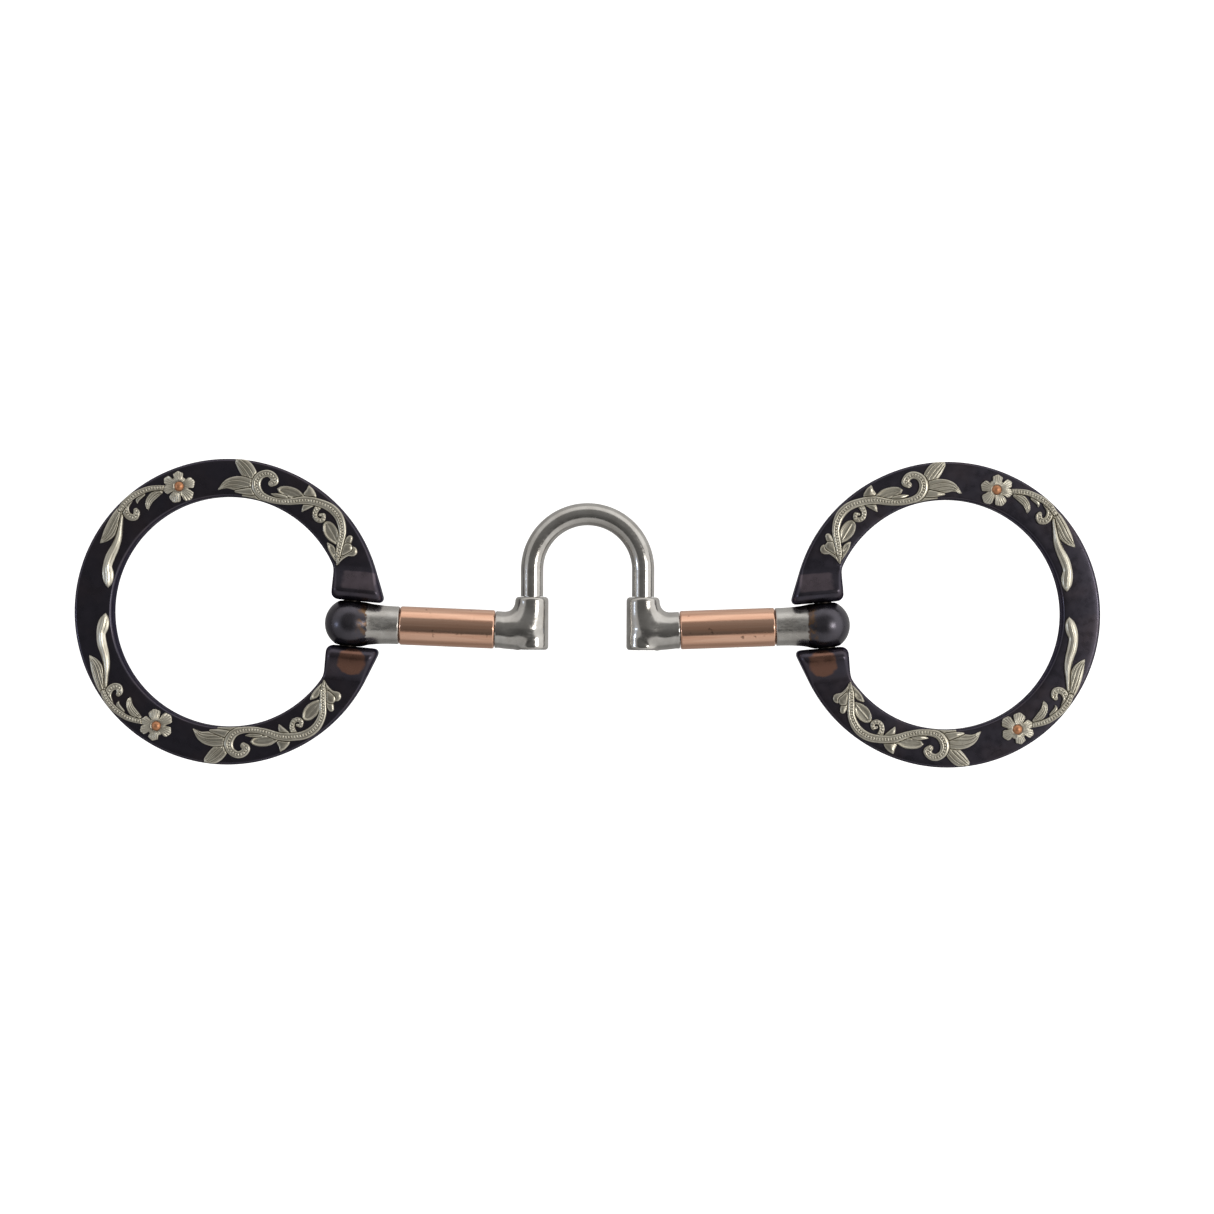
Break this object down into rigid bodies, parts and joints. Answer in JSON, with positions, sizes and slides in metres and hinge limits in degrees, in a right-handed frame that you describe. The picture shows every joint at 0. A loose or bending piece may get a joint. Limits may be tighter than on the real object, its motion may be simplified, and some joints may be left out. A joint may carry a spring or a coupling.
{
  "type": "ring bit",
  "caption": "Ring-cheek horse bit with a hinged high port, copper rollers on its arms, and flat rings that swing on pivot balls.",
  "frame": {"origin": "midway between the ring centres, at the level the bit rests on when it lies flat", "axes": "+X along the mouthpiece, +Y the way the port rises, +Z the ornamented side of the rings"},
  "size_m": [0.2964, 0.0884, 0.0145],
  "materials": {
    "blued_steel": "glossy black bluing with brown patina on the hinge blocks",
    "stainless": "polished stainless steel",
    "copper": null,
    "nickel_silver": "engraved nickel silver, warm grey",
    "pin_steel": "plain ground steel"
  },
  "bodies": {
    "port": {"port_bar": "stainless", "left_port_end_burr": "stainless", "right_port_end_burr": "stainless"},
    "left_arm": {"left_elbow": "stainless", "left_axle": "pin_steel", "left_neck": "stainless", "left_ball": "blued_steel"},
    "left_roller": {"left_roller": "copper"},
    "left_ring": {"left_ring": "blued_steel", "left_pivot_pin": "pin_steel", "left_upper_vine": "nickel_silver", "left_lower_vine": "nickel_silver", "left_upper_spray": "nickel_silver", "left_lower_spray": "nickel_silver", "left_upper_flower_rivet": "copper", "left_lower_flower_rivet": "copper"},
    "right_arm": {"right_elbow": "stainless", "right_axle": "pin_steel", "right_neck": "stainless", "right_ball": "blued_steel"},
    "right_roller": {"right_roller": "copper"},
    "right_ring": {"right_ring": "blued_steel", "right_pivot_pin": "pin_steel", "right_upper_vine": "nickel_silver", "right_lower_vine": "nickel_silver", "right_upper_spray": "nickel_silver", "right_lower_spray": "nickel_silver", "right_upper_flower_rivet": "copper", "right_lower_flower_rivet": "copper"}
  },
  "joints": [
    {"name": "left_arm_hinge", "type": "hinge", "parent": "port", "child": "left_arm", "pos_m": [-0.0161, 0, 0.00725], "axis": [0, 1, 0], "range_deg": [-150, 150]},
    {"name": "right_arm_hinge", "type": "hinge", "parent": "port", "child": "right_arm", "pos_m": [0.0161, 0, 0.00725], "axis": [0, 1, 0], "range_deg": [-150, 150]},
    {"name": "left_roller_spin", "type": "hinge", "parent": "left_arm", "child": "left_roller", "pos_m": [-0.06885, -0.0032, 0.00725], "axis": [-0.9993, 0.0384, 0], "continuous": true},
    {"name": "right_roller_spin", "type": "hinge", "parent": "right_arm", "child": "right_roller", "pos_m": [0.06885, -0.0032, 0.00725], "axis": [0.9993, 0.0384, 0], "continuous": true},
    {"name": "left_ring_swing", "type": "hinge", "parent": "left_arm", "child": "left_ring", "pos_m": [-0.06885, -0.0032, 0.00725], "axis": [-0.0906, -0.9959, 0], "range_deg": [-165, 165]},
    {"name": "right_ring_swing", "type": "hinge", "parent": "right_arm", "child": "right_ring", "pos_m": [0.06885, -0.0032, 0.00725], "axis": [0.0906, -0.9959, 0], "range_deg": [-165, 165]}
  ]
}
